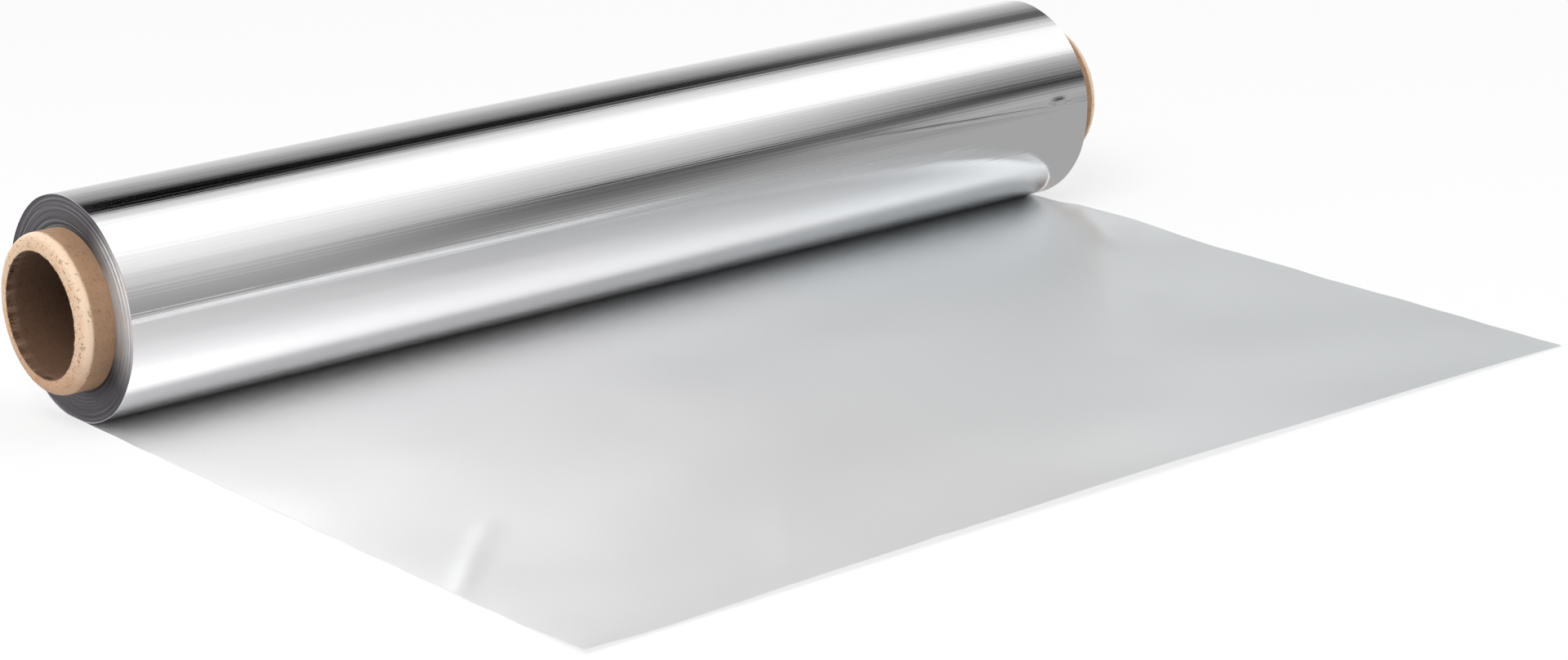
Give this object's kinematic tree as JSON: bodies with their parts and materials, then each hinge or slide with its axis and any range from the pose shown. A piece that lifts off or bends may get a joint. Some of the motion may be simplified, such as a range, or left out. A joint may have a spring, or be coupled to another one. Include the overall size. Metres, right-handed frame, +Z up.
{
  "type": "aluminium foil roll",
  "caption": "Catering roll of kitchen aluminium foil wound tight on a cardboard core, with its free end pulled out flat in front.",
  "frame": {"origin": "on the table, under the roll's axis and half way along the foil", "axes": "+X along the roll's axis, +Z up, and the free end of the foil lies towards -Y"},
  "size_m": [0.32, 0.2167, 0.0534],
  "materials": {
    "foil": "bright rolled face outside and satin face inside, polished to a soft mirror, cut ends of the turns dark grey",
    "board": "raw brown wound board, matt, paler and speckled on its cut ends"
  },
  "bodies": {
    "root": {"foil": "foil", "core": "board"}
  },
  "joints": []
}
